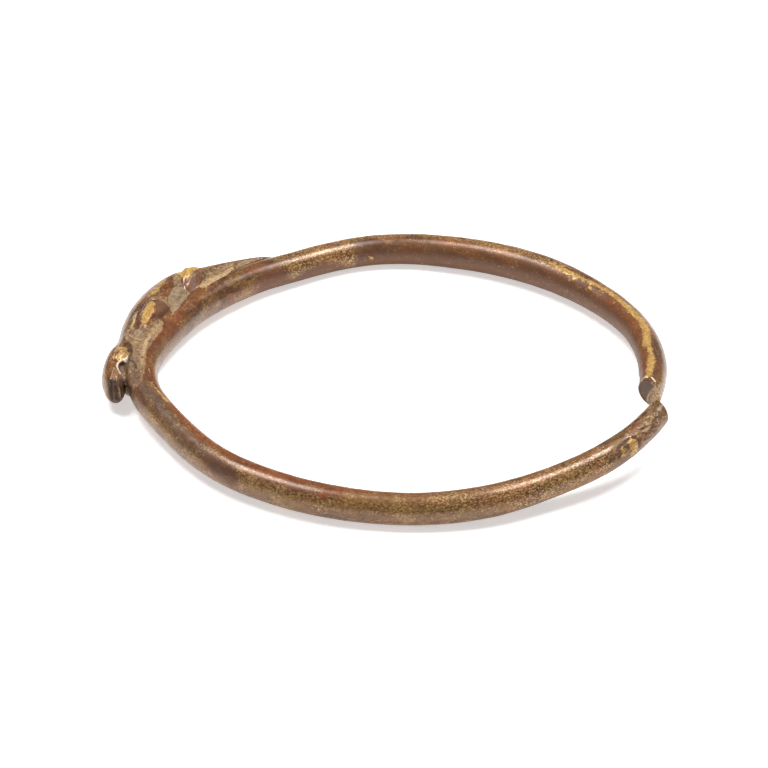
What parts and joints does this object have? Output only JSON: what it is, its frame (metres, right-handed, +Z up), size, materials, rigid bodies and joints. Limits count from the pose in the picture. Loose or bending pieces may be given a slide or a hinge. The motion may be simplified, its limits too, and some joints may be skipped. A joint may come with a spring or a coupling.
{
  "type": "cast bronze amulet bracelet",
  "caption": "Open bracelet of round cast bronze rod with a small reptile lying along its outer side, lying flat.",
  "frame": {"origin": "middle of the underside of the bracelet's box, on the surface that it lies on", "axes": "+Z up, the ring lying flat in X and Y, with the reptile towards -X and the gap between the open ends towards +X"},
  "size_m": [0.072, 0.0686, 0.0069],
  "materials": {
    "bronze": "dark red-brown patina with worn golden spots and tan crust in the recesses, satin"
  },
  "bodies": {
    "root": {"bracelet": "bronze"}
  },
  "joints": []
}
